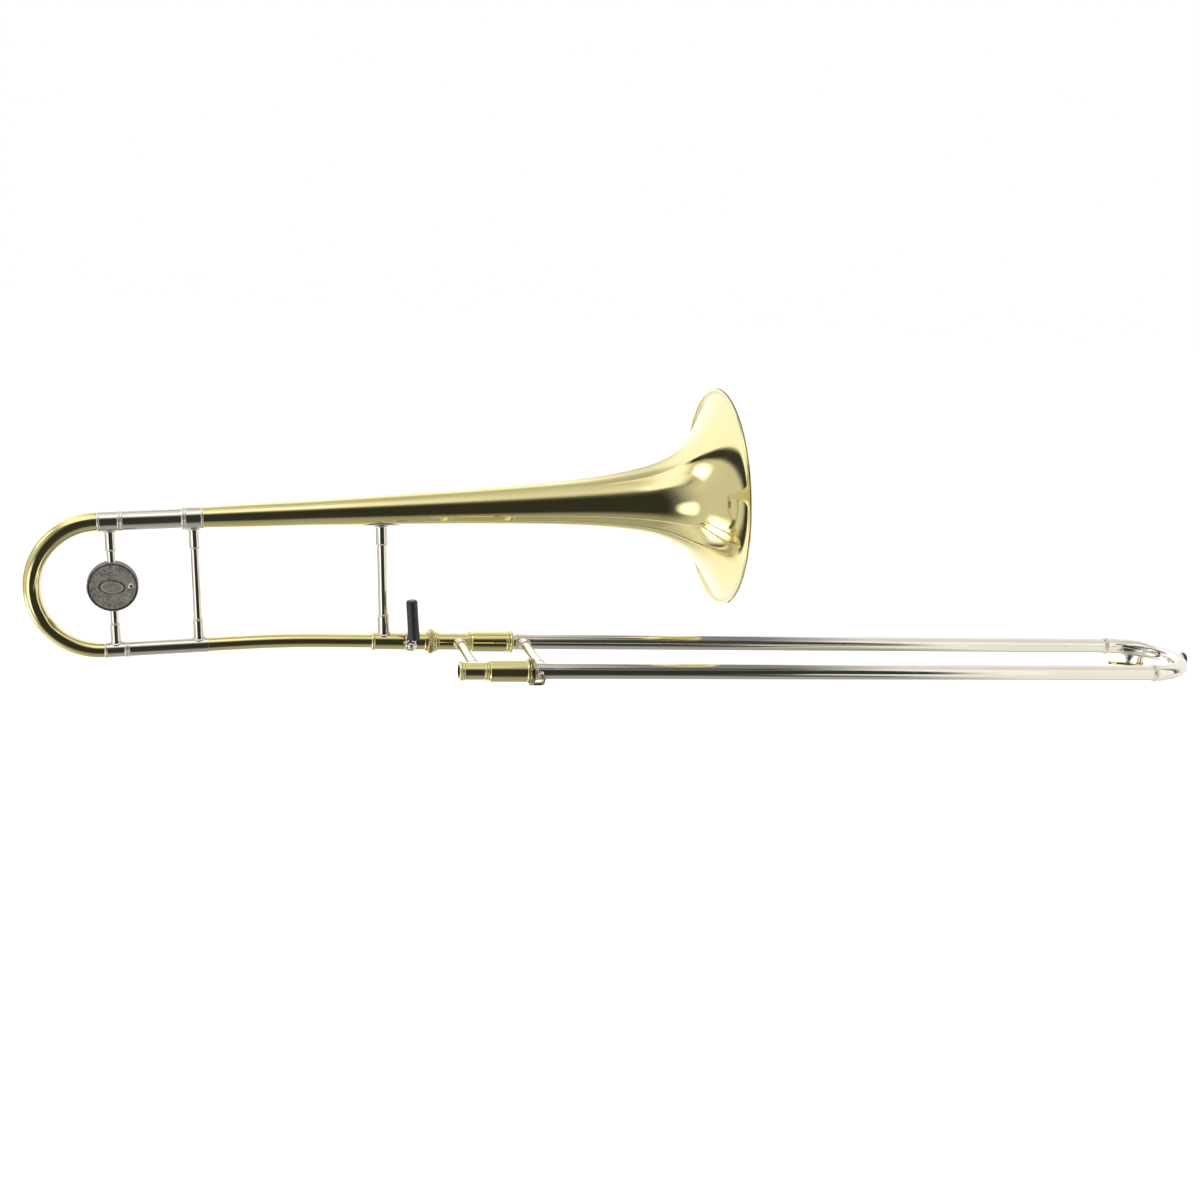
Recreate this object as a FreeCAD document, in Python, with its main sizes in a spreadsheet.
import FreeCAD, Part
import math
import os
import re
import Sketcher

# Tenor slide trombone, millimetres and degrees.
# Origin: centre of the mouthpiece receiver's mouth.
# +X runs along the hand slide to the end bow, +Y from the mouthpiece-side tube to the
# bell-side tube, +Z from the hand slide up to the bell.
#
# Two notations are used throughout:
# - a size or place is a number, or a string with an expression in the dimensions below;
# - "_s" is a distance back along the bell axis from the rim, "_t" a distance below that
#   axis. The bell axis lies over the bell-side tube and climbs by bell_tilt towards +X.

DIMS = dict(
    gap=0.02,  # solder line between parts that are joined face to face
    # hand slide
    slide_width=98.0, bore_rad=6.5, inner_rad=6.78, stocking_rad=7.0,
    outer_bore_rad=7.05, outer_rad=7.35, inner_end=692.0, stocking_len=92.0,
    outer_start=46.0, bow_start=701.5, barrel_end=61.0,
    barrel_rad=10.15, barrel_bore_rad=8.3, barrel_back=27.0,
    receiver_len=22.1, receiver_rad=8.7, mouth_rad=6.2, mouth_len=14.0,
    leadpipe_end=232.0, cork_len=12.0,
    sleeve_start=69.9, sleeve_end=87.0, sleeve_rad=7.85,
    inner_brace_x=16.0, outer_brace_x=78.0, brace_rad=4.0, brace_foot_rad=4.9,
    bow_rad=49.0, bow_tube_rad=7.5, bow_wall=0.5,
    bow_ferrule_start=697.0, bow_ferrule_rad=8.0,
    bumper_len=7.0, bumper_rad=5.6,
    lock_start=64.1, lock_len=4.7, lock_rad=12.4, lock_bore_rad=9.56,
    lock_arm_len=9.0, lock_pin_x=74.2, lock_pin_rad=1.5,
    # neck
    neck_rad=8.4, nut_start=-14.4, nut_len=8.1, nut_rad=11.75,
    sleeve_back=-67.5, collar_start=-17.3, bell_sleeve_rad=8.4,
    # bell section
    rim_x=262.22, rim_z=147.08, bell_tilt=3.756, leg_gap=119.69,
    rim_rad=104.8, bell_wall=0.6, bead_s=2.2, bead_rad=2.4, wire_rad=1.7,
    joint_s=560.5, bow_s=580.3, up_leg_end=500.0, low_leg_end=488.0,
    up_outer_rad=9.5, up_outer_bore=9.05, up_inner_rad=9.0, up_inner_bore=8.6,
    low_outer_rad=7.2, low_outer_bore=6.8, low_inner_rad=6.75, low_inner_bore=6.4,
    goose_rad=6.75, goose_bore=6.3, goose_bend_s=421.9, goose_start_s=500.0,
    up_inner_end=505.0, low_inner_end=502.0,
    tail_start=507.0, tail_rad=10.6, tail_bell_rad=9.96,
    rear_brace_s=496.5, front_brace_s=326.8, weight_brace_s=570.0,
    front_bell_rad=14.9, front_brace_t=125.86,
    rod_rad=4.0, socket_rad=4.9, front_rod_rad=4.75, front_socket_rad=5.8,
    socket_len=18.0,
    # counterweight
    weight_rad=22.8, weight_thick=12.4, weight_t=60.0, weight_screw=16.0,
    # hand rest
    rest_x=-31.8, rest_rad=5.5, rest_len=44.2, rest_off=15.6, rest_drop=0.0, rest_lean=6.0,
    clamp_width=8.0,
    # water key
    key_angle=30.0, nipple_angle=44.0, key_drop=15.0, collar_rad=8.25,
)

Vector = FreeCAD.Vector
doc = FreeCAD.newDocument("trombone")
sheet = doc.addObject("Spreadsheet::Sheet", "Dims")
for row, (alias, size) in enumerate(DIMS.items(), 1):
    sheet.set(f"A{row}", alias)
    sheet.set(f"B{row}", repr(size))
    sheet.setAlias(f"B{row}", alias)
doc.recompute()

# ---------------------------------------------------------------- expressions

ALIASES = re.compile(r"\b(" + "|".join(sorted(DIMS, key=len, reverse=True)) + r")\b")
TRIG = {"sin": math.sin, "cos": math.cos, "tan": math.tan}


def cell(alias):
    return float(sheet.get(alias))


def solve(text):
    """Value of + - * / ( ), numbers, cell names and sin, cos, tan of degrees."""
    tokens = re.findall(r"[0-9.]+|[A-Za-z_]+|[-+*/()]", text)

    def atom():
        token = tokens.pop(0)
        if token == "-":
            return -atom()
        if token == "(":
            value = total()
            tokens.pop(0)
            return value
        if token in TRIG:
            tokens.pop(0)
            value = total()
            tokens.pop(0)
            return TRIG[token](math.radians(value))
        if token[0].isalpha():
            return cell(token)
        return float(token)

    def product():
        value = atom()
        while tokens and tokens[0] in ("*", "/"):
            if tokens.pop(0) == "*":
                value *= atom()
            else:
                value /= atom()
        return value

    def total():
        value = product()
        while tokens and tokens[0] in ("+", "-"):
            if tokens.pop(0) == "+":
                value += product()
            else:
                value -= product()
        return value

    return total()


def number(size):
    """Present value of a size."""
    return solve(size) if isinstance(size, str) else float(size)


def bound(text):
    """The same expression, written for the document's expression engine."""
    text = ALIASES.sub(lambda match: "Dims." + match.group(1), text)
    return re.sub(r"\b(sin|cos|tan)\(([^()]*)\)", r"\1((\2) * 1 deg)", text)


def bind(obj, prop, size):
    """Set a property, and bind it to the sheet if its size is an expression."""
    setattr(obj, prop, number(size))
    if isinstance(size, str):
        obj.setExpression(prop, bound(size))


def constrain(sketch, size, kind, *points):
    """Add a constraint that carries a value, bound like any other size."""
    index = sketch.addConstraint(Sketcher.Constraint(kind, *points, number(size)))
    if isinstance(size, str):
        sketch.setExpression(f"Constraints[{index}]", bound(size))


# ---------------------------------------------------------------- placing


def rotation(axis, degrees):
    return FreeCAD.Rotation(Vector(*axis), number(degrees))


# where a cylinder's own +Z is turned to
TO_X = rotation((0, 1, 0), 90.0)
TO_Y = rotation((1, 0, 0), -90.0)
TO_MINUS_Y = rotation((1, 0, 0), 90.0)
ALONG_BELL = rotation((0, 1, 0), "90.0 - bell_tilt")
# where a turned body's own +X is turned to
X_TO_Y = rotation((0, 0, 1), 90.0)
X_TO_MINUS_Y = rotation((0, 0, 1), -90.0)
# own +X along the bell axis towards the rim, own +Z square to it and up
BELL_FRAME = rotation((0, -1, 0), "bell_tilt")


def place(obj, base, turn=None):
    """Placement whose position is bound to the sheet; the rotation is fixed."""
    position = Vector(*[number(size) for size in base])
    obj.Placement = FreeCAD.Placement(position, turn or FreeCAD.Rotation())
    for letter, size in zip("xyz", base):
        if isinstance(size, str):
            obj.setExpression("Placement.Base." + letter, bound(size))
    return obj


def bell_base(back, below, aside=0.0):
    """Document position of a point given by its distances from the rim's centre."""
    return (f"rim_x - ({back}) * cos(bell_tilt) + ({below}) * sin(bell_tilt)",
            f"slide_width + ({aside})",
            f"rim_z - ({back}) * sin(bell_tilt) - ({below}) * cos(bell_tilt)")


def on_bell(obj, back, below):
    return place(obj, bell_base(back, below), BELL_FRAME)


# ---------------------------------------------------------------- shapes


def new_sketch(body, name, role):
    """Sketch on the body's origin plane that has this role."""
    sketch = body.newObject("Sketcher::SketchObject", name)
    origin_plane = [item for item in body.Origin.OriginFeatures if item.Role == role][0]
    sketch.AttachmentSupport = [(origin_plane, "")]
    sketch.MapMode = "FlatFace"
    return sketch


def revolve(body, sketch, axis, degrees):
    feature = body.newObject("PartDesign::Revolution", body.Name + "_revolution")
    feature.Profile = sketch
    feature.ReferenceAxis = (sketch, [axis])
    feature.Angle = degrees
    body.Tip = feature


def draw_outline(sketch, points):
    """Closed polygon; every corner is located from the origin."""
    corners = [Vector(number(x), number(y), 0) for x, y in points]
    count = len(corners)
    for k in range(count):
        sketch.addGeometry(Part.LineSegment(corners[k], corners[(k + 1) % count]), False)
    for k in range(count):
        sketch.addConstraint(Sketcher.Constraint("Coincident", k, 2, (k + 1) % count, 1))
    for k, (x, y) in enumerate(points):
        for kind, size, axis in (("DistanceX", x, -2), ("DistanceY", y, -1)):
            if not isinstance(size, str) and abs(size) < 1e-9:
                sketch.addConstraint(Sketcher.Constraint("PointOnObject", k, 1, axis))
            else:
                constrain(sketch, size, kind, -1, 1, k, 1)


def turned(name, points):
    """Body of revolution about its own X axis; points are (distance along it, radius)."""
    body = doc.addObject("PartDesign::Body", name)
    sketch = new_sketch(body, name + "_profile", "XY_Plane")
    draw_outline(sketch, points)
    revolve(body, sketch, "H_Axis", 360.0)
    return body


def tube(name, start, end, bore, rad):
    return turned(name, [(start, bore), (end, bore), (end, rad), (start, rad)])


def cylinder(name, rad, length, base, turn=None):
    obj = doc.addObject("Part::Cylinder", name)
    bind(obj, "Radius", rad)
    bind(obj, "Height", length)
    return place(obj, base, turn)


def box(name, size, base, turn=None):
    obj = doc.addObject("Part::Box", name)
    for prop, side in zip(("Length", "Width", "Height"), size):
        bind(obj, prop, side)
    return place(obj, base, turn)


def torus(name, rad, section_rad, base, turn=None):
    obj = doc.addObject("Part::Torus", name)
    bind(obj, "Radius1", rad)
    bind(obj, "Radius2", section_rad)
    return place(obj, base, turn)


def fixed_shape(name, shape):
    obj = doc.addObject("Part::Feature", name)
    obj.Shape = shape
    return obj


def cut(name, base, tool):
    obj = doc.addObject("Part::Cut", name)
    obj.Base = base
    obj.Tool = tool
    return obj


def fuse(name, *shapes):
    obj = doc.addObject("Part::MultiFuse", name)
    obj.Shapes = list(shapes)
    return obj


def common(name, *shapes):
    obj = doc.addObject("Part::MultiCommon", name)
    obj.Shapes = list(shapes)
    return obj


def group(name, *shapes):
    obj = doc.addObject("Part::Compound", name)
    obj.Links = list(shapes)
    return obj


NODES = []  # finished pieces; each one's label names its file


def node(obj):
    NODES.append(obj)


# ---------------------------------------------------------------- hand slide, inner half

SIDES = (("mouthpiece_side", 0.0), ("bell_side", "slide_width"))  # (side, y of its tube)

for side, side_y in SIDES:
    start = "barrel_back" if side == "bell_side" else "receiver_len + 2.0"
    inner_tube = tube("inner_tube_" + side, start, "inner_end", "bore_rad", "inner_rad")
    node(place(inner_tube, (0.0, side_y, 0.0)))
    stocking = tube("stocking_" + side, "inner_end - stocking_len", "inner_end",
                    "inner_rad", "stocking_rad")
    node(place(stocking, (0.0, side_y, 0.0)))

node(turned("leadpipe", [
    ("mouth_len + 1.0", 5.9), ("mouth_len + 60.0", 5.8), ("leadpipe_end", 6.3),
    ("leadpipe_end", "bore_rad - 0.03"), ("mouth_len + 1.0", "bore_rad - 0.03")]))

# receiver: two rings at the mouth, a cylindrical socket for the shank, a step where it
# meets the inner tube and the barrel
node(turned("mouthpiece_receiver", [
    (0.0, "mouth_rad"), ("mouth_len", "mouth_rad"), ("mouth_len", "bore_rad"),
    ("receiver_len + 2.0", "bore_rad"), ("receiver_len + 2.0", "inner_rad"),
    ("receiver_len + 5.4", "inner_rad"), ("receiver_len + 5.4", 8.3),
    ("receiver_len + 4.4", 9.1), ("receiver_len + 3.0", 8.1), ("receiver_len + 1.6", 9.1),
    ("receiver_len + 0.3", 8.1), ("receiver_len", 8.1), ("receiver_len", "receiver_rad"),
    (5.4, "receiver_rad"), (4.2, "receiver_rad"), (3.4, "receiver_rad + 0.7"),
    (2.4, "receiver_rad + 0.1"), (1.4, "receiver_rad + 0.8"), (0.4, "receiver_rad + 0.7"),
    (0.0, "receiver_rad")]))


def cork_barrel(side, back, nose):
    """Closed round the inner tube at its back, open to the outer tube at its +X end."""
    return turned("cork_barrel_" + side, [
        (back, "inner_rad"), ("barrel_back + 4.5", "inner_rad"),
        ("barrel_back + 4.5", "barrel_bore_rad"),
        (f"barrel_end + {nose[-1][0]}", "barrel_bore_rad")]
        + [(f"barrel_end + {ahead}", rad) for ahead, rad in reversed(nose)]
        + [("barrel_end", "barrel_rad"), ("barrel_back + 1.2", "barrel_rad"),
           (back, "barrel_rad - 0.9")])


# outsides of the barrels' ends: (distance beyond barrel_end, radius)
NOSE_MOUTHPIECE_SIDE = [
    (0.6, 10.15), (1.2, 10.9), (2.4, 10.9), (3.0, 10.3), (3.05, 9.5), (7.9, 9.5),
    (7.95, 10.1), (8.6, 10.1)]
NOSE_BELL_SIDE = [
    (0.3, 9.6), (0.9, 10.5), (2.1, 10.5), (2.7, 9.7), (3.2, 9.7), (3.7, 11.0),
    (6.0, 11.0), (6.6, 10.3)]
node(cork_barrel("mouthpiece_side", "receiver_len + 5.4", NOSE_MOUTHPIECE_SIDE))
node(place(cork_barrel("bell_side", "barrel_back", NOSE_BELL_SIDE),
           (0.0, "slide_width", 0.0)))

corks = []
for k, (side, side_y) in enumerate(SIDES):
    cork = tube(f"barrel_cork_{k}", "barrel_back + 4.6", "barrel_back + 4.6 + cork_len",
                "inner_rad + 0.04", "barrel_bore_rad - 0.1")
    corks.append(place(cork, (0.0, side_y, 0.0)))
node(group("barrel_corks", *corks))

# neck: male tenon towards the bell section, a shoulder for the lock nut, the brace seat
# and two bead rings up to the barrel
neck = turned("slide_neck", [
    (-42.0, 6.35), ("barrel_back - 0.05", "bore_rad"), ("barrel_back - 0.05", 9.2),
    (26.1, 9.7), (25.1, 8.7), (24.1, 9.7), (23.2, 9.2), (22.6, "neck_rad"),
    (-4.0, "neck_rad"), (-4.5, 9.2), (-6.2, 9.2), (-6.2, 8.2), (-14.0, 8.0),
    (-17.0, 7.45), (-42.0, 6.9)])
node(place(neck, (0.0, "slide_width", 0.0)))


def cross_brace(prefix, x, near_rad, far_rad):
    """Tube across the slide between two flanged feet that saddle the slide tubes."""
    # each foot: y of its slide tube, that tube's radius, y of the rod seat, way it points
    ends = ((0.0, near_rad, f"{near_rad} + 4.0", TO_Y),
            ("slide_width", far_rad, f"slide_width - {far_rad} - 4.0", TO_MINUS_Y))
    feet = []
    for k, (tube_y, rad, seat_y, turn) in enumerate(ends):
        centre = (x, tube_y, 0.0)
        post = cylinder(f"{prefix}_post_{k}", "brace_foot_rad", f"{rad} + 9.0", centre, turn)
        pad = common(
            f"{prefix}_pad_{k}",
            cylinder(f"{prefix}_pad_shell_{k}", f"{rad} + 1.0", 16.0,
                     (f"{x} - 8.0", tube_y, 0.0), TO_X),
            cylinder(f"{prefix}_pad_disc_{k}", "brace_foot_rad + 1.4", f"{rad} + 3.0",
                     centre, turn))
        saddle = cylinder(f"{prefix}_saddle_{k}", f"{rad} + gap", 40.0,
                          (f"{x} - 20.0", tube_y, 0.0), TO_X)
        seat = cylinder(f"{prefix}_seat_{k}", "brace_rad", 30.0, (x, seat_y, 0.0), turn)
        foot = fuse(f"{prefix}_foot_blank_{k}", post, pad)
        foot = cut(f"{prefix}_foot_saddled_{k}", foot, saddle)
        feet.append(cut(f"{prefix}_foot_{k}", foot, seat))
    outside = cylinder(prefix + "_rod_outer", "brace_rad",
                       f"slide_width - {near_rad} - {far_rad} - 8.04",
                       (x, f"{near_rad} + 4.02", 0.0), TO_Y)
    bore = cylinder(prefix + "_rod_inner", "brace_rad - 0.7", "slide_width",
                    (x, 0.0, 0.0), TO_Y)
    node(cut(prefix + "_rod", outside, bore))
    node(group(prefix + "_feet", *feet))


cross_brace("inner_brace", "inner_brace_x", "receiver_rad", "neck_rad")

# ---------------------------------------------------------------- lock nut and lock ring

# the nut's waist is knurled with shallow grooves
GROOVE_COUNT = 40
GROOVE_RAD = 0.45
GROOVE_LEN = 4.4
GROOVE_CIRCLE = "(nut_rad + 0.18)"

nut = turned("bell_lock_nut_blank", [
    (0.0, "neck_rad - 0.1"), ("nut_len - 0.1", "neck_rad - 0.1"),
    ("nut_len - 0.1", "nut_rad - 1.4"), ("nut_len - 1.2", "nut_rad - 0.4"),
    ("nut_len - 2.6", "nut_rad"), (2.6, "nut_rad"), (1.2, "nut_rad - 0.4"),
    (0.0, "nut_rad - 1.4")])
place(nut, ("nut_start + 0.05", "slide_width", 0.0))
grooves = []
for k in range(GROOVE_COUNT):
    angle = math.radians(360.0 / GROOVE_COUNT * k)
    groove_base = ("nut_start + 1.85",
                   f"slide_width + {GROOVE_CIRCLE} * {math.cos(angle):.6f}",
                   f"{GROOVE_CIRCLE} * {math.sin(angle):.6f}")
    grooves.append(cylinder(f"nut_groove_{k:02d}", GROOVE_RAD, GROOVE_LEN, groove_base, TO_X))
node(cut("bell_lock_nut", nut, group("nut_grooves", *grooves)))

# lock ring with an arm under the slide tube and a finger that curls up from the arm's
# end on the -Y side, next to the pin
lock_ring = turned("lock_ring_blank", [
    (0.0, "lock_bore_rad"), ("lock_len - 0.1", "lock_bore_rad"),
    ("lock_len - 0.1", "lock_rad - 0.6"), ("lock_len - 0.7", "lock_rad"),
    (0.7, "lock_rad"), (0.0, "lock_rad - 0.6")])
place(lock_ring, ("lock_start", 0.0, 0.0))


def sector(name, start_x, length, bore, rad, start, sweep):
    """Part of a tube about the mouthpiece-side axis; angles run from +Y towards +Z."""
    turn = rotation((1, 0, 0), start).multiply(rotation((1, 1, 1), 120.0))
    outside = cylinder(name + "_o", rad, length, (start_x, 0.0, 0.0), turn)
    outside.Angle = sweep
    inside = cylinder(name + "_i", bore, f"2.0 + ({length})",
                      (f"({start_x}) - 1.0", 0.0, 0.0), TO_X)
    return cut(name, outside, inside)


lock_arm = sector("lock_arm", "lock_start + 1.0", "lock_len + lock_arm_len - 1.0",
                  "lock_bore_rad + 1.2", "lock_rad + 0.6", start=258.0, sweep=24.0)
lock_finger = sector("lock_finger", "lock_start + lock_len + lock_arm_len - 2.0", 2.0,
                     "sleeve_rad + 1.1", "lock_rad + 0.6", start=194.0, sweep=76.0)
node(fuse("slide_lock_ring", lock_ring, lock_arm, lock_finger))

# ---------------------------------------------------------------- hand slide, outer half

for side, side_y in SIDES:
    outer_tube = tube("outer_tube_" + side, "outer_start", "bow_start",
                      "outer_bore_rad", "outer_rad")
    node(place(outer_tube, (0.0, side_y, 0.0)))
    sleeve = turned("outer_sleeve_" + side, [
        ("sleeve_start", "outer_rad + gap"), ("sleeve_end", "outer_rad + gap"),
        ("sleeve_end", "sleeve_rad - 0.2"), ("sleeve_end - 0.5", "sleeve_rad"),
        ("sleeve_start + 1.6", "sleeve_rad"), ("sleeve_start + 0.8", "sleeve_rad + 0.4"),
        ("sleeve_start", "sleeve_rad + 0.3")])
    node(place(sleeve, (0.0, side_y, 0.0)))

cross_brace("outer_brace", "outer_brace_x", "sleeve_rad", "sleeve_rad")

# lock pin: stands out of the mouthpiece-side sleeve, away from the bell-side tube
lock_pin = turned("lock_pin_turned", [
    (0.0, 0.0), (0.0, 2.6), (0.9, 2.6), (1.3, "lock_pin_rad"), (4.6, "lock_pin_rad"),
    (5.0, "lock_pin_rad - 0.4"), (5.0, 0.0)])
place(lock_pin, ("lock_pin_x", "0.0 - sleeve_rad + 0.4", 0.0), X_TO_MINUS_Y)
node(cut("slide_lock_pin", lock_pin,
         cylinder("pin_saddle", "sleeve_rad + gap", 12.0, ("lock_pin_x - 6.0", 0.0, 0.0), TO_X)))

# ---------------------------------------------------------------- end bow


def bow_arc(name, bore, rad, start, sweep):
    """Bent tube round the end bow's centre; start is measured from -Y towards +X."""
    body = doc.addObject("PartDesign::Body", name)
    sketch = new_sketch(body, name + "_section", "YZ_Plane")
    centre = Vector(-number("bow_rad"), 0, 0)
    for k, circle_rad in enumerate((rad, bore)):
        sketch.addGeometry(Part.Circle(centre, Vector(0, 0, 1), number(circle_rad)), False)
        sketch.addConstraint(Sketcher.Constraint("PointOnObject", k, 3, -1))
        constrain(sketch, "bow_rad", "DistanceX", k, 3, -1, 1)
        constrain(sketch, circle_rad, "Radius", k)
    revolve(body, sketch, "V_Axis", sweep)
    return place(body, ("bow_start", "bow_rad", 0.0), rotation((0, 0, 1), start))


def bow_point(angle, z):
    """Point at an angle round the bow, counted from the bell-side end."""
    return (f"bow_start + bow_rad * sin({angle})",
            f"slide_width / 2 + bow_rad * cos({angle})", z)


def bow_core(name):
    """Cutting tool that fits parts to the bow's outside."""
    return torus(name, "bow_rad", "bow_tube_rad + gap", ("bow_start", "slide_width / 2", 0.0))


node(cut("end_bow",
         bow_arc("end_bow_tube", "bow_tube_rad - bow_wall", "bow_tube_rad", 0.0, 180.0),
         cylinder("drain_hole", 2.2, 12.0, bow_point("nipple_angle", -12.0))))

FERRULE_SWEEP = 10.0
for (side, side_y), bend_start in zip(SIDES, (0.0, 180.0 - FERRULE_SWEEP)):
    straight = turned("bow_ferrule_bead_" + side, [
        ("bow_ferrule_start", "outer_rad + gap"), ("bow_start", "outer_rad + gap"),
        ("bow_start", "bow_ferrule_rad"), ("bow_ferrule_start + 3.4", "bow_ferrule_rad"),
        ("bow_ferrule_start + 2.9", "bow_ferrule_rad + 0.7"),
        ("bow_ferrule_start + 2.0", "bow_ferrule_rad + 0.7"),
        ("bow_ferrule_start + 1.6", "bow_ferrule_rad"),
        ("bow_ferrule_start + 1.1", "bow_ferrule_rad + 0.6"),
        ("bow_ferrule_start + 0.3", "bow_ferrule_rad + 0.6"),
        ("bow_ferrule_start", "bow_ferrule_rad")])
    place(straight, (0.0, side_y, 0.0))
    bent = bow_arc("bow_ferrule_bend_" + side, "bow_tube_rad + gap", "bow_ferrule_rad",
                   bend_start, FERRULE_SWEEP)
    node(fuse("bow_ferrule_" + side, straight, bent))

# bumper: a metal base on the bow's apex holds a rubber foot
bumper_base = turned("bumper_base_blank", [
    (0.0, 0.0), (0.0, 5.2), (1.6, 5.2), (1.6, 4.0), (4.0, 4.0), (4.0, 0.0)])
place(bumper_base, ("bow_start + bow_rad + bow_tube_rad - 1.4", "slide_width / 2", 0.0))
node(cut("bumper_base", bumper_base, bow_core("bumper_seat")))
bumper = turned("bumper", [
    (0.0, 4.02), (2.38, 4.02), (2.38, 0.0), ("bumper_len - 0.8", 0.0),
    ("bumper_len - 0.8", "bumper_rad - 1.3"), ("bumper_len - 1.5", "bumper_rad - 0.3"),
    ("bumper_len - 2.6", "bumper_rad"), (0.5, "bumper_rad - 0.1"), (0.0, "bumper_rad - 0.5")])
node(place(bumper, ("bow_start + bow_rad + bow_tube_rad + 0.24", "slide_width / 2", 0.0)))

# ---------------------------------------------------------------- water key

# nipple under the bow, its seat ring facing down
nipple = turned("nipple_blank", [
    (-14.0, 2.2), (-4.0, 2.2), (-4.0, 3.3), (-13.0, 3.3), (-13.4, 3.9), (-14.0, 3.9)])
place(nipple, bow_point("nipple_angle", 0.0), rotation((0, -1, 0), 90.0))
node(cut("water_key_nipple", nipple, bow_core("nipple_seat")))

# The key's frame has its origin on the pivot axis under the bow's centre line. A spot in
# it is (along the bow's tangent towards the apex, outwards from the bow's centre, up).
KEY_FRAME = rotation((0, 0, 1), -number("key_angle"))
CUP_SPOT = (11.85, -1.46)  # under the nipple


def key_base(along, out, up):
    return (f"bow_start + bow_rad * sin(key_angle) + ({along}) * cos(key_angle)"
            f" + ({out}) * sin(key_angle)",
            f"slide_width / 2 + bow_rad * cos(key_angle) - ({along}) * sin(key_angle)"
            f" + ({out}) * cos(key_angle)",
            f"0.0 - key_drop + ({up})")


def key_disc(name, rad, length, spot):
    """Upright cylinder in the key's frame."""
    return cylinder(name, rad, length, key_base(*spot), KEY_FRAME)


def key_pin(name, rad, length, start):
    """Cylinder on the pivot axis, from start outwards."""
    return cylinder(name, rad, length, key_base(0.0, start, 0.0), KEY_FRAME.multiply(TO_Y))


def key_box(name, size, spot, pitch=0.0):
    turn = KEY_FRAME.multiply(rotation((0, 1, 0), pitch))
    return box(name, size, key_base(*spot), turn)


# saddle: a collar round the bow with two cheeks under it; the pivot hole runs through them
collar = cut("key_collar_drilled",
             bow_arc("key_collar", "bow_tube_rad + gap", "collar_rad", 131.0, 29.0),
             cylinder("key_collar_drill", 3.32, 12.0, bow_point("nipple_angle", -14.0)))
CHEEK = (4.4, 1.2, 10.8)
saddle = fuse("saddle_blank", collar,
              key_box("cheek_a", CHEEK, (-2.2, -4.6, -2.0)),
              key_box("cheek_b", CHEEK, (-2.2, 3.4, -2.0)))
saddle = cut("saddle_seated", saddle, bow_core("saddle_seat"))
node(cut("water_key_saddle", saddle, key_pin("saddle_hole", 0.8, 12.0, -6.0)))

node(fuse("water_key_pivot_screw",
          key_pin("pivot_shaft", 0.78, 9.4, -4.7), key_pin("pivot_head", 1.4, 0.9, 4.65)))

# lever: barrel on the pivot, a cup for the cork, a thumb paddle at the other end
lever = fuse("lever_blank",
             key_pin("lever_barrel", 1.7, 6.4, -3.2),
             key_box("lever_arm", (21.4, 3.0, 1.4), (-13.2, -1.9, -2.8)),
             key_disc("lever_cup", 4.1, 1.4, (*CUP_SPOT, -2.9)),
             key_box("lever_paddle", (9.0, 7.0, 1.4), (-20.6, -4.6, -3.6), pitch=-4.0),
             key_box("lever_web", (2.4, 3.0, 2.2), (-1.2, -1.9, -1.8)))
node(cut("water_key_lever", lever, key_pin("lever_hole", 0.83, 12.0, -6.0)))
node(key_disc("water_key_cork", 3.5, 2.46, (*CUP_SPOT, -1.48)))

# spring: a ring round the lever's barrel
spring = cut("spring_ring", key_pin("spring_outer", 2.7, 2.0, -2.6),
             key_pin("spring_inner", 1.75, 4.0, -3.4))
node(cut("water_key_spring", spring,
         key_box("spring_trim", (8.0, 8.0, 4.0), (-4.0, -4.0, -5.3))))

# ---------------------------------------------------------------- bell

# outside of the bell from its tail to the start of the rim bead: (distance s, radius)
BELL = [
    (497.6, 9.96), (483.1, 9.96), (468.9, 10.37), (454.6, 10.68), (440.3, 11.0),
    (426.0, 11.28), (397.2, 11.7), (382.7, 12.1), (353.4, 13.0), (307.2, 14.45),
    (284.8, 15.15), (262.3, 15.95), (239.6, 16.8), (216.8, 17.75), (193.8, 18.9),
    (170.8, 20.25), (147.5, 21.85), (124.1, 24.0), (100.6, 27.15), (76.9, 31.6),
    (65.0, 34.9), (53.1, 39.7), (41.1, 46.4), (29.2, 56.1), (19.6, 67.5),
    (11.4, 80.0), (5.2, 91.5), (2.35, 98.0)]
OFFSET_STEPS = 60  # steps along the curve when it is moved outwards or inwards


def bell_curve(offset):
    """Spline of the bell's outside in the (axial, radius) plane, moved outwards."""
    skin = Part.BSplineCurve()
    skin.interpolate([Vector(-back, rad, 0) for back, rad in BELL],
                     InitialTangent=Vector(1, 0.0, 0), FinalTangent=Vector(0.36, 1, 0))
    if not offset:
        return skin
    first, last = skin.FirstParameter, skin.LastParameter
    points = []
    for k in range(OFFSET_STEPS + 1):
        param = first + (last - first) * k / float(OFFSET_STEPS)
        point = skin.value(param)
        tangent = skin.tangent(param)[0]
        points.append(Vector(point.x - tangent.y * offset, point.y + tangent.x * offset, 0))
    moved = Part.BSplineCurve()
    moved.interpolate(points)
    return moved


def spun(face):
    return face.revolve(Vector(0, 0, 0), Vector(1, 0, 0), 360)


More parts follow.
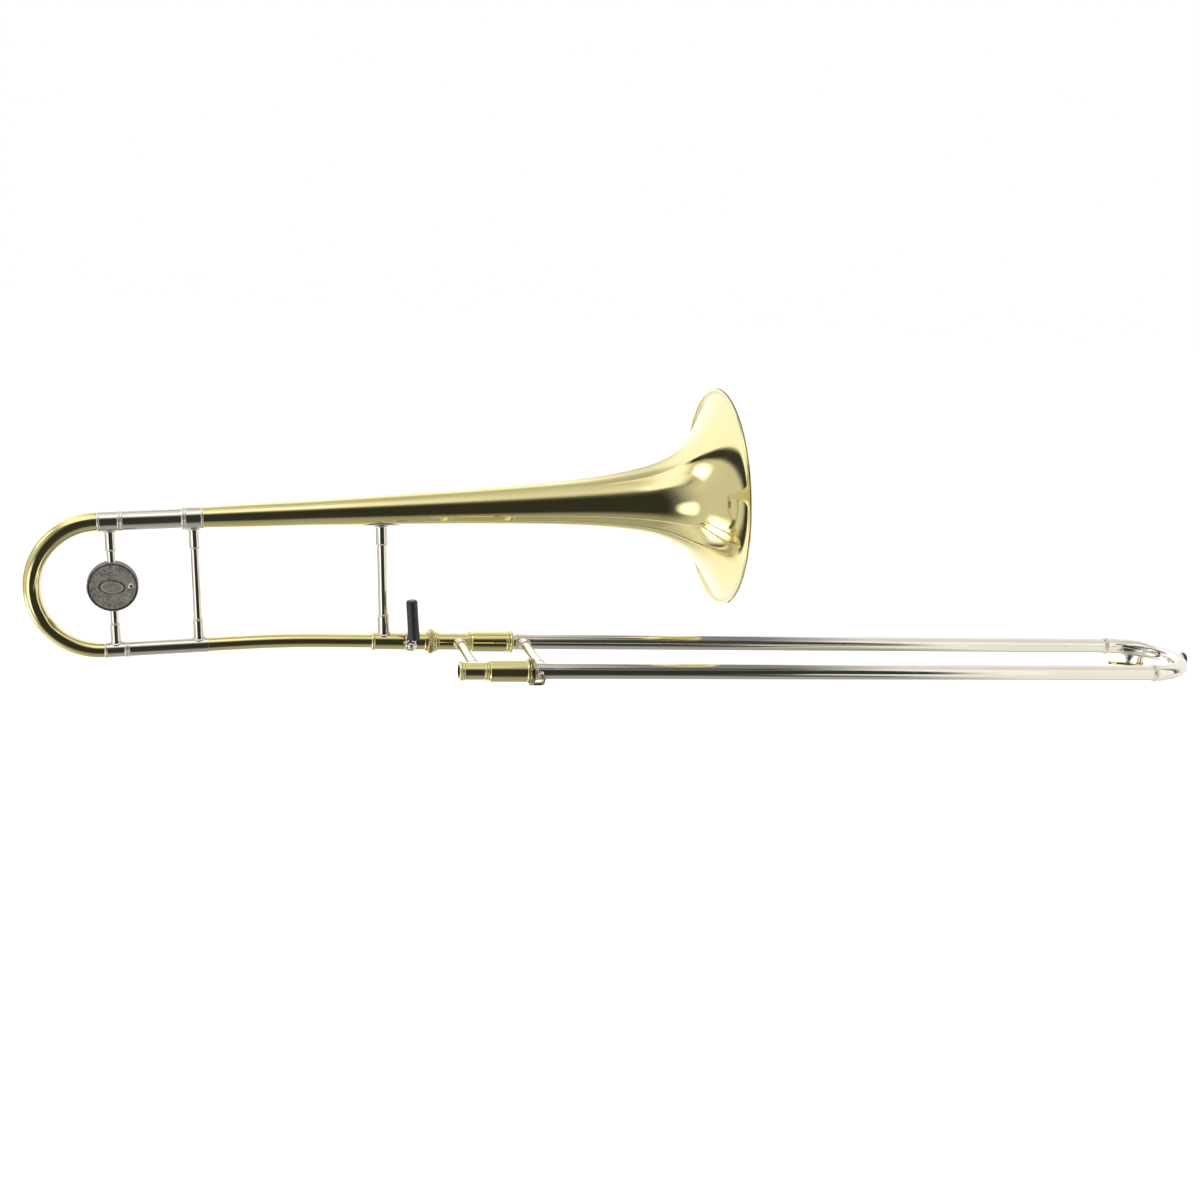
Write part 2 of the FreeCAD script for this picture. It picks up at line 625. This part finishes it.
def bell_shape():
    """Bell wall with a rolled rim: an open curl round a wire, closed by the wall."""
    outside = bell_curve(0.0)
    inside = bell_curve(-cell("bell_wall"))
    wire_rad = cell("wire_rad")
    bead_x = -cell("bead_s")
    bead_y = cell("rim_rad") - cell("bead_rad")
    bead_centre = Vector(bead_x, bead_y, 0)

    lip_outer = Vector(bead_x - 0.2, bead_y - wire_rad - 0.2, 0)
    lip_inner = Vector(bead_x + 0.7, bead_y - wire_rad - 0.45, 0)
    wall = spun(Part.Face(Part.Wire([
        outside.toShape(),
        Part.makeLine(outside.value(outside.LastParameter), lip_outer),
        Part.makeLine(lip_outer, lip_inner),
        Part.makeLine(lip_inner, inside.value(inside.LastParameter)),
        inside.toShape(),
        Part.makeLine(inside.value(inside.FirstParameter),
                      outside.value(outside.FirstParameter))])))

    bead = Part.Face(Part.Wire(Part.makeCircle(cell("bead_rad"), bead_centre)))
    hollow = Part.Face(Part.Wire(Part.makeCircle(wire_rad + 0.03, bead_centre)))
    slot = Part.Face(Part.makePolygon([
        bead_centre, Vector(bead_x - 4.0, bead_y - 1.6, 0),
        Vector(bead_x - 4.0, bead_y - 0.9, 0), bead_centre]))
    curl = spun(bead.cut(hollow).cut(slot))
    return wall.fuse(curl).cut(spun(hollow)).removeSplitter()


node(on_bell(fixed_shape("bell", bell_shape()), 0.0, 0.0))
node(torus("bell_rim_wire", "rim_rad - bead_rad", "wire_rad",
           bell_base("bead_s", 0.0), ALONG_BELL))

# tail ferrule: joins the bell's tail to the tuning slide's upper outer leg
node(on_bell(turned("bell_tail_ferrule", [
    (0.0, "up_outer_rad + gap"), (7.2, "up_outer_rad + gap"), (7.2, "tail_bell_rad + 0.03"),
    (19.4, "tail_bell_rad + 0.03"), (19.4, "tail_rad - 0.3"), (18.9, "tail_rad + 0.1"),
    (17.6, "tail_rad + 0.1"), (17.2, "tail_rad"), (4.4, "tail_rad"), (4.0, "tail_rad + 0.5"),
    (2.9, "tail_rad + 0.5"), (2.4, "tail_rad - 0.1"), (1.9, "tail_rad + 0.5"),
    (0.7, "tail_rad + 0.5"), (0.0, "tail_rad - 0.1")]), "tail_start", 0.0))


def outer_leg(level, end, below, bore, rad):
    """Outer leg of the tuning slide, with a bead ring at its open end."""
    length = f"joint_s - {end}"
    bead_rad = f"{rad} + 0.6"
    return on_bell(turned("tuning_outer_leg_" + level, [
        (0.0, bore), (length, bore), (length, rad), (2.4, rad), (1.9, bead_rad),
        (0.6, bead_rad), (0.0, rad)]), "joint_s", below)


node(outer_leg("upper", "up_leg_end", 0.0, "up_outer_bore", "up_outer_rad"))
node(outer_leg("lower", "low_leg_end", "leg_gap", "low_outer_bore", "low_outer_rad"))

# ---------------------------------------------------------------- gooseneck and receiver


def gooseneck():
    """Leaves the bell receiver along -X, then bends to run parallel to the bell axis."""
    bend_expr = ("sleeve_back + 12.0 - rim_x + goose_bend_s * cos(bell_tilt)"
                 " - leg_gap * sin(bell_tilt)")
    bend = number(bend_expr)  # from the start to where the two straights would meet
    half = 36.0               # from that corner to either end of the arc
    run = number("goose_start_s - goose_bend_s")
    tilt = math.radians(number("bell_tilt"))
    arc_rad = half / math.tan(tilt / 2)
    arc_start = Vector(half - bend, 0, 0)
    arc_middle = Vector(half - bend - arc_rad * math.sin(tilt / 2),
                        -arc_rad + arc_rad * math.cos(tilt / 2), 0)
    arc_end = Vector(-bend - half * math.cos(tilt), -half * math.sin(tilt), 0)
    path_end = Vector(-bend - run * math.cos(tilt), -run * math.sin(tilt), 0)

    body = doc.addObject("PartDesign::Body", "gooseneck")
    path = new_sketch(body, "gooseneck_path", "XZ_Plane")
    path.addGeometry(Part.LineSegment(Vector(0, 0, 0), arc_start), False)
    path.addGeometry(Part.Arc(arc_start, arc_middle, arc_end), False)
    path.addGeometry(Part.LineSegment(arc_end, path_end), False)
    # the sketch may store the arc in either direction
    near = 1 if path.Geometry[1].StartPoint.distanceToPoint(arc_start) < 1e-6 else 2
    path.addConstraint(Sketcher.Constraint("Coincident", 0, 1, -1, 1))
    path.addConstraint(Sketcher.Constraint("Horizontal", 0))
    path.addConstraint(Sketcher.Constraint("Tangent", 0, 2, 1, near))
    path.addConstraint(Sketcher.Constraint("Tangent", 2, 1, 1, 3 - near))
    constrain(path, bend_expr + " + (goose_start_s - goose_bend_s) * cos(bell_tilt)",
              "DistanceX", 2, 2, -1, 1)
    constrain(path, "(goose_start_s - goose_bend_s) * sin(bell_tilt)",
              "DistanceY", 2, 2, -1, 1)
    constrain(path, bend - half, "DistanceX", 0, 2, -1, 1)

    section = new_sketch(body, "gooseneck_section", "YZ_Plane")
    for k, rad in enumerate(("goose_rad", "goose_bore")):
        circle = Part.Circle(Vector(0, 0, 0), Vector(0, 0, 1), number(rad))
        section.addGeometry(circle, False)
        section.addConstraint(Sketcher.Constraint("Coincident", k, 3, -1, 1))
        constrain(section, rad, "Radius", k)
    pipe = body.newObject("PartDesign::AdditivePipe", "gooseneck_pipe")
    pipe.Profile = section
    pipe.Spine = path
    body.Tip = pipe
    return place(body, ("sleeve_back + 12.0", "slide_width", 0.0))


node(gooseneck())

# bell receiver: sleeve over the gooseneck's end, female taper for the neck, thread collar
bell_receiver = turned("bell_receiver", [
    ("sleeve_back", "goose_rad + gap"), ("sleeve_back + 12.05", "goose_rad + gap"),
    ("sleeve_back + 12.05", 6.6), (-43.0, 6.6), (-42.4, "6.9 + gap"),
    ("collar_start + 0.3", "7.45 + gap"), (-14.5, 8.05), (-14.5, 9.3), (-14.9, 9.75),
    ("collar_start + 0.3", 9.75), ("collar_start", 9.3),
    ("collar_start - 0.05", "bell_sleeve_rad"), ("sleeve_back + 2.8", "bell_sleeve_rad"),
    ("sleeve_back + 2.2", "bell_sleeve_rad + 0.6"),
    ("sleeve_back + 0.7", "bell_sleeve_rad + 0.6"), ("sleeve_back", "bell_sleeve_rad")])
node(place(bell_receiver, (0.0, "slide_width", 0.0)))

# ---------------------------------------------------------------- bell braces


def bell_post(name, rad, length, back, below):
    """Cylinder square to the bell axis, rising from its foot."""
    return cylinder(name, rad, length, bell_base(back, below), BELL_FRAME)


def post_brace(prefix, back, top_rad, low_rad, low_below, rod, socket, level_low=False):
    """Brace square to the bell axis: a rod between two sockets that saddle the tubes.
    With level_low the lower tube lies along X at z = 0, not along the bell axis."""
    top_rad = f"({top_rad})"
    low_rad = f"({low_rad})"
    low_mouth = f"({low_below}) - {low_rad} - socket_len"
    # each end: name, tube radius, distances below the bell axis of the tube's own axis
    # and of the feet of post, pad disc and rod seat
    ends = (
        ("top", top_rad, "0.0", f"socket_len + {top_rad}", f"{top_rad} + 2.0",
         f"socket_len + {top_rad} + 0.5"),
        ("low", low_rad, low_below, low_below, low_below, f"{low_mouth} + 13.5"))
    sockets = []
    for end, rad, axis_below, post_foot, disc_foot, seat_foot in ends:

        def along_tube(name, tool_rad, reach):
            if level_low and end == "low":
                x = bell_base(back, axis_below)[0]
                base = (f"{x} - {reach}", "slide_width", 0.0)
                return cylinder(name, tool_rad, 2 * reach, base, TO_X)
            base = bell_base(f"{back} + {reach}", axis_below)
            return cylinder(name, tool_rad, 2 * reach, base, ALONG_BELL)

        stem = f"{prefix}_{end}"
        post = bell_post(stem + "_blank", socket, f"socket_len + {rad}", back, post_foot)
        pad = common(
            stem + "_pad",
            bell_post(stem + "_pad_disc", f"{socket} + 1.0", f"{rad} + 2.0", back, disc_foot),
            along_tube(stem + "_pad_shell", f"{rad} + 1.0", 12.0))
        part = fuse(stem + "_fuse", post, pad)
        part = cut(stem + "_saddled", part, along_tube(stem + "_tool", f"{rad} + 0.04", 20.0))
        seat = bell_post(stem + "_seat", rod, 14.0, back, seat_foot)
        sockets.append(cut(stem + "_socket", part, seat))

    outside = bell_post(prefix + "_rod_o", rod,
                        f"({low_below}) - {low_rad} - {top_rad} - 2.0 * socket_len + 26.9",
                        back, f"{low_mouth} + 13.45")
    bore = bell_post(prefix + "_rod_i", f"{rod} - 0.8", 200.0, back, 150.0)
    node(cut(prefix + "_rod", outside, bore))
    node(group(prefix + "_sockets", *sockets))


post_brace("rear_brace", "rear_brace_s", "tail_rad", "low_outer_rad", "leg_gap",
           "rod_rad", "socket_rad")
post_brace("front_brace", "front_brace_s", "front_bell_rad", "bell_sleeve_rad",
           "front_brace_t", "front_rod_rad", "front_socket_rad", level_low=True)


def flange_shape():
    """Oval of sheet that follows the bell's underside at the front brace."""
    inside = bell_curve(0.03).toShape()
    outside = bell_curve(0.85).toShape()
    shell = spun(Part.Face(Part.Wire([
        inside, Part.makeLine(inside.Vertexes[-1].Point, outside.Vertexes[-1].Point),
        outside, Part.makeLine(outside.Vertexes[0].Point, inside.Vertexes[0].Point)])))
    stretch = FreeCAD.Matrix()
    stretch.scale(18.0, 8.5, 1.0)  # half length along the bell axis, half width
    oval = Part.Face(Part.Wire(Part.makeCircle(1.0))).transformGeometry(stretch)
    oval.translate(Vector(-cell("front_brace_s"), 0, -20.0))
    return shell.common(oval.extrude(Vector(0, 0, 15.0)))


node(on_bell(fixed_shape("front_brace_flange", flange_shape()), 0.0, 0.0))

# ---------------------------------------------------------------- tuning slide

# section radii of the tuning bow at its top, middle and bottom
TUNING_BOW_RADII = (9.0, 8.1, 7.0)
TUNING_BOW_WALL = 0.5
TUNING_BOW_SECTIONS = 9


def tapered_bow(top, middle, bottom):
    """Half-round bow in the bell plane with evenly spaced, shrinking sections."""
    bend_rad = cell("leg_gap") / 2.0
    arc = Part.Arc(Vector(0, 0, 0), Vector(-bend_rad, 0, -bend_rad),
                   Vector(0, 0, -2 * bend_rad)).toShape()
    rings = []
    for k in range(TUNING_BOW_SECTIONS):
        share = k / (TUNING_BOW_SECTIONS - 1.0)
        if share < 0.5:
            rad = top + (middle - top) * 2 * share
        else:
            rad = middle + (bottom - middle) * (2 * share - 1)
        angle = math.pi * share
        centre = Vector(-bend_rad * math.sin(angle), 0,
                        -bend_rad + bend_rad * math.cos(angle))
        tangent = Vector(-math.cos(angle), 0, -math.sin(angle))
        rings.append(Part.Wire(Part.makeCircle(rad, centre, tangent)))
    return Part.Wire(arc).makePipeShell(rings, True, False)


bow_bore_radii = [rad - TUNING_BOW_WALL for rad in TUNING_BOW_RADII]
tuning_bow = fixed_shape("tuning_bow",
                         tapered_bow(*TUNING_BOW_RADII).cut(tapered_bow(*bow_bore_radii)))
node(on_bell(tuning_bow, "bow_s", 0.0))


def tuning_ferrule(level, below, bore, rad):
    """Ferrule round an inner leg, between the bow and the end of the outer leg."""
    length = "bow_s - joint_s"
    return on_bell(turned("tuning_ferrule_" + level, [
        (0.0, bore), (f"{length} - 0.05", bore), (f"{length} - 0.05", f"{rad} + 0.1"),
        (f"{length} - 0.6", f"{rad} + 0.6"), (f"{length} - 1.8", f"{rad} + 0.6"),
        (f"{length} - 2.4", rad), (2.2, rad), (1.7, f"{rad} + 0.5"), (0.5, f"{rad} + 0.5"),
        (0.0, f"{rad} - 0.1")]), "bow_s", below)


def inner_leg(level, end, below, bore, rad):
    leg = tube("tuning_inner_leg_" + level, 0.0, f"bow_s - {end}", bore, rad)
    return on_bell(leg, "bow_s", below)


node(tuning_ferrule("upper", 0.0, "up_inner_rad + gap", "up_outer_rad"))
node(tuning_ferrule("lower", "leg_gap", "low_inner_rad + gap", "low_outer_rad + 0.1"))
node(inner_leg("upper", "up_inner_end", 0.0, "up_inner_bore", "up_inner_rad"))
node(inner_leg("lower", "low_inner_end", "leg_gap", "low_inner_bore", "low_inner_rad"))

# ---------------------------------------------------------------- counterweight

post_brace("weight_brace", "weight_brace_s", "up_outer_rad", "low_outer_rad + 0.1",
           "leg_gap", "rod_rad", "socket_rad")


def weight_screw_base(aside):
    """Point on the counterweight screw's axis, at a distance from the bell plane."""
    return bell_base("weight_brace_s - weight_screw", "weight_t", aside)


def half_weight(prefix, side, way):
    """Rimmed disc with a groove for the brace rod; way is its side of the rod in Y."""
    face = "weight_thick / 2"
    disc = turned(prefix + "_disc", [
        (0.05, 0.0), (0.05, "weight_rad"), (f"{face} - 2.0", "weight_rad"),
        (f"{face} - 0.9", "weight_rad - 0.5"), (f"{face} - 0.2", "weight_rad - 1.6"),
        (f"{face} - 0.6", "weight_rad - 2.2"), (f"{face} - 0.6", 9.6), (face, 9.0),
        (face, 0.0)])
    place(disc, bell_base("weight_brace_s", "weight_t"),
          BELL_FRAME.multiply(rotation((0, 0, 1), 90.0 * way)))
    groove = bell_post(prefix + "_groove", "rod_rad + gap", 80.0,
                       "weight_brace_s", "weight_t + 40.0")
    hole_rad = 1.6 if way < 0 else 1.52
    drill = cylinder(prefix + "_drill", hole_rad, 30.0, weight_screw_base(-15.0), TO_Y)
    grooved = cut(prefix + "_grooved", disc, groove)
    if way > 0:
        return cut("counterweight_" + side, grooved, drill)
    # the -Y half also takes the screw's head
    counterbore = cylinder(prefix + "_counterbore", 2.6, 10.0,
                           weight_screw_base("0.0 - weight_thick / 2 - 7.6"), TO_Y)
    drilled = cut(prefix + "_drilled", grooved, drill)
    return cut("counterweight_" + side, drilled, counterbore)


node(half_weight("weight_front", "front", -1))
node(half_weight("weight_rear", "rear", 1))

# slotted cheese head screw, sunk in the -Y half
weight_screw = turned("weight_screw_turned", [
    (0.0, 0.0), (0.0, 2.5), (1.7, 2.5), (1.7, 1.5), (9.0, 1.5), (9.0, 0.0)])
place(weight_screw, weight_screw_base("0.0 - weight_thick / 2 + 0.6"), X_TO_Y)
slot_x, slot_y, slot_z = weight_screw_base("0.0 - weight_thick / 2")
node(cut("counterweight_screw", weight_screw,
         box("screw_slot", (5.6, 1.4, 0.8), (slot_x + " - 2.8", slot_y, slot_z + " - 0.4"))))

# ---------------------------------------------------------------- hand rest


def rest_point(aside):
    """Point on the hand rest screw's axis; aside is added to the eye's y."""
    return ("rest_x", f"slide_width - rest_off + {aside}", "0.0 - rest_drop")


# clamp: a band round the bell receiver with a boss on its -Y side
clamp_band = cut(
    "clamp_band",
    cylinder("clamp_outer", "bell_sleeve_rad + 1.2", "clamp_width",
             ("rest_x - clamp_width / 2", "slide_width", 0.0), TO_X),
    cylinder("clamp_inner", "bell_sleeve_rad + 0.03", "clamp_width + 2.0",
             ("rest_x - clamp_width / 2 - 1.0", "slide_width", 0.0), TO_X))
clamp_boss = cut(
    "clamp_boss",
    cylinder("clamp_boss_outer", 3.0, "rest_off - 1.9", rest_point(1.9), TO_Y),
    cylinder("clamp_boss_trim", "bell_sleeve_rad + 0.03", 20.0,
             ("rest_x - 10.0", "slide_width", 0.0), TO_X))
node(cut("hand_rest_clamp", fuse("clamp_fuse", clamp_band, clamp_boss),
         cylinder("clamp_screw_hole", 1.6, 8.0, rest_point(1.0), TO_Y)))

# eye: a flat disc on the screw, with a stem that rises and leans towards -X
rest_stem = cylinder("rest_stem", 2.5, 32.0,
                     ("rest_x - 4.4 * tan(rest_lean)", "slide_width - rest_off", 4.4),
                     rotation((0, -1, 0), "rest_lean"))
rest_disc = cylinder("rest_disc", 5.4, 3.4, rest_point(-1.7), TO_Y)
node(cut("hand_rest_eye", fuse("rest_eye_fuse", rest_stem, rest_disc),
         cylinder("rest_hole", 1.62, 14.0, rest_point(-7.0), TO_Y)))

# grip: a sleeve over the stem, closed by a rounded top
rest_grip = turned("hand_rest_grip", [
    (6.0, 2.52), (37.0, 2.52), (37.0, 0.0), ("rest_len", 0.0),
    ("rest_len", "rest_rad - 1.6"), ("rest_len - 0.5", "rest_rad - 0.6"),
    ("rest_len - 1.6", "rest_rad"), (6.6, "rest_rad"), (6.0, "rest_rad - 0.6")])
node(place(rest_grip, ("rest_x", "slide_width - rest_off", 0.0),
           rotation((0, -1, 0), "90.0 + rest_lean")))

# slotted screw, its head on the -Y side of the eye
rest_screw = turned("rest_screw_turned", [
    (0.0, 0.0), (0.0, 3.2), (0.5, 3.7), (2.2, 3.7), (2.6, 3.3), (2.6, 1.56),
    (10.2, 1.56), (10.2, 0.0)])
place(rest_screw, rest_point(-4.4), X_TO_Y)
node(cut("hand_rest_screw", rest_screw,
         box("rest_screw_slot", (8.0, 1.2, 0.9),
             ("rest_x - 4.0", "slide_width - rest_off - 4.6", "0.0 - rest_drop - 0.45"))))

# ---------------------------------------------------------------- checks and export

doc.recompute()
faults = []
for obj in doc.Objects:
    if any(word in obj.State for word in ("Invalid", "Error")):
        faults.append(f"{obj.Name}: {obj.State}")
labels = set()
for obj in NODES:
    shape = obj.Shape
    if shape.isNull() or not shape.isValid() or not shape.Solids or shape.Volume <= 0:
        faults.append(f"{obj.Label}: null, invalid or empty shape")
    if obj.Label in labels:
        faults.append(f"{obj.Label}: label used twice")
    labels.add(obj.Label)
if faults:
    raise SystemExit("not written:\n" + "\n".join(faults))

os.makedirs("parts", exist_ok=True)
for obj in NODES:
    obj.Shape.exportStep(f"parts/{obj.Label}.step")
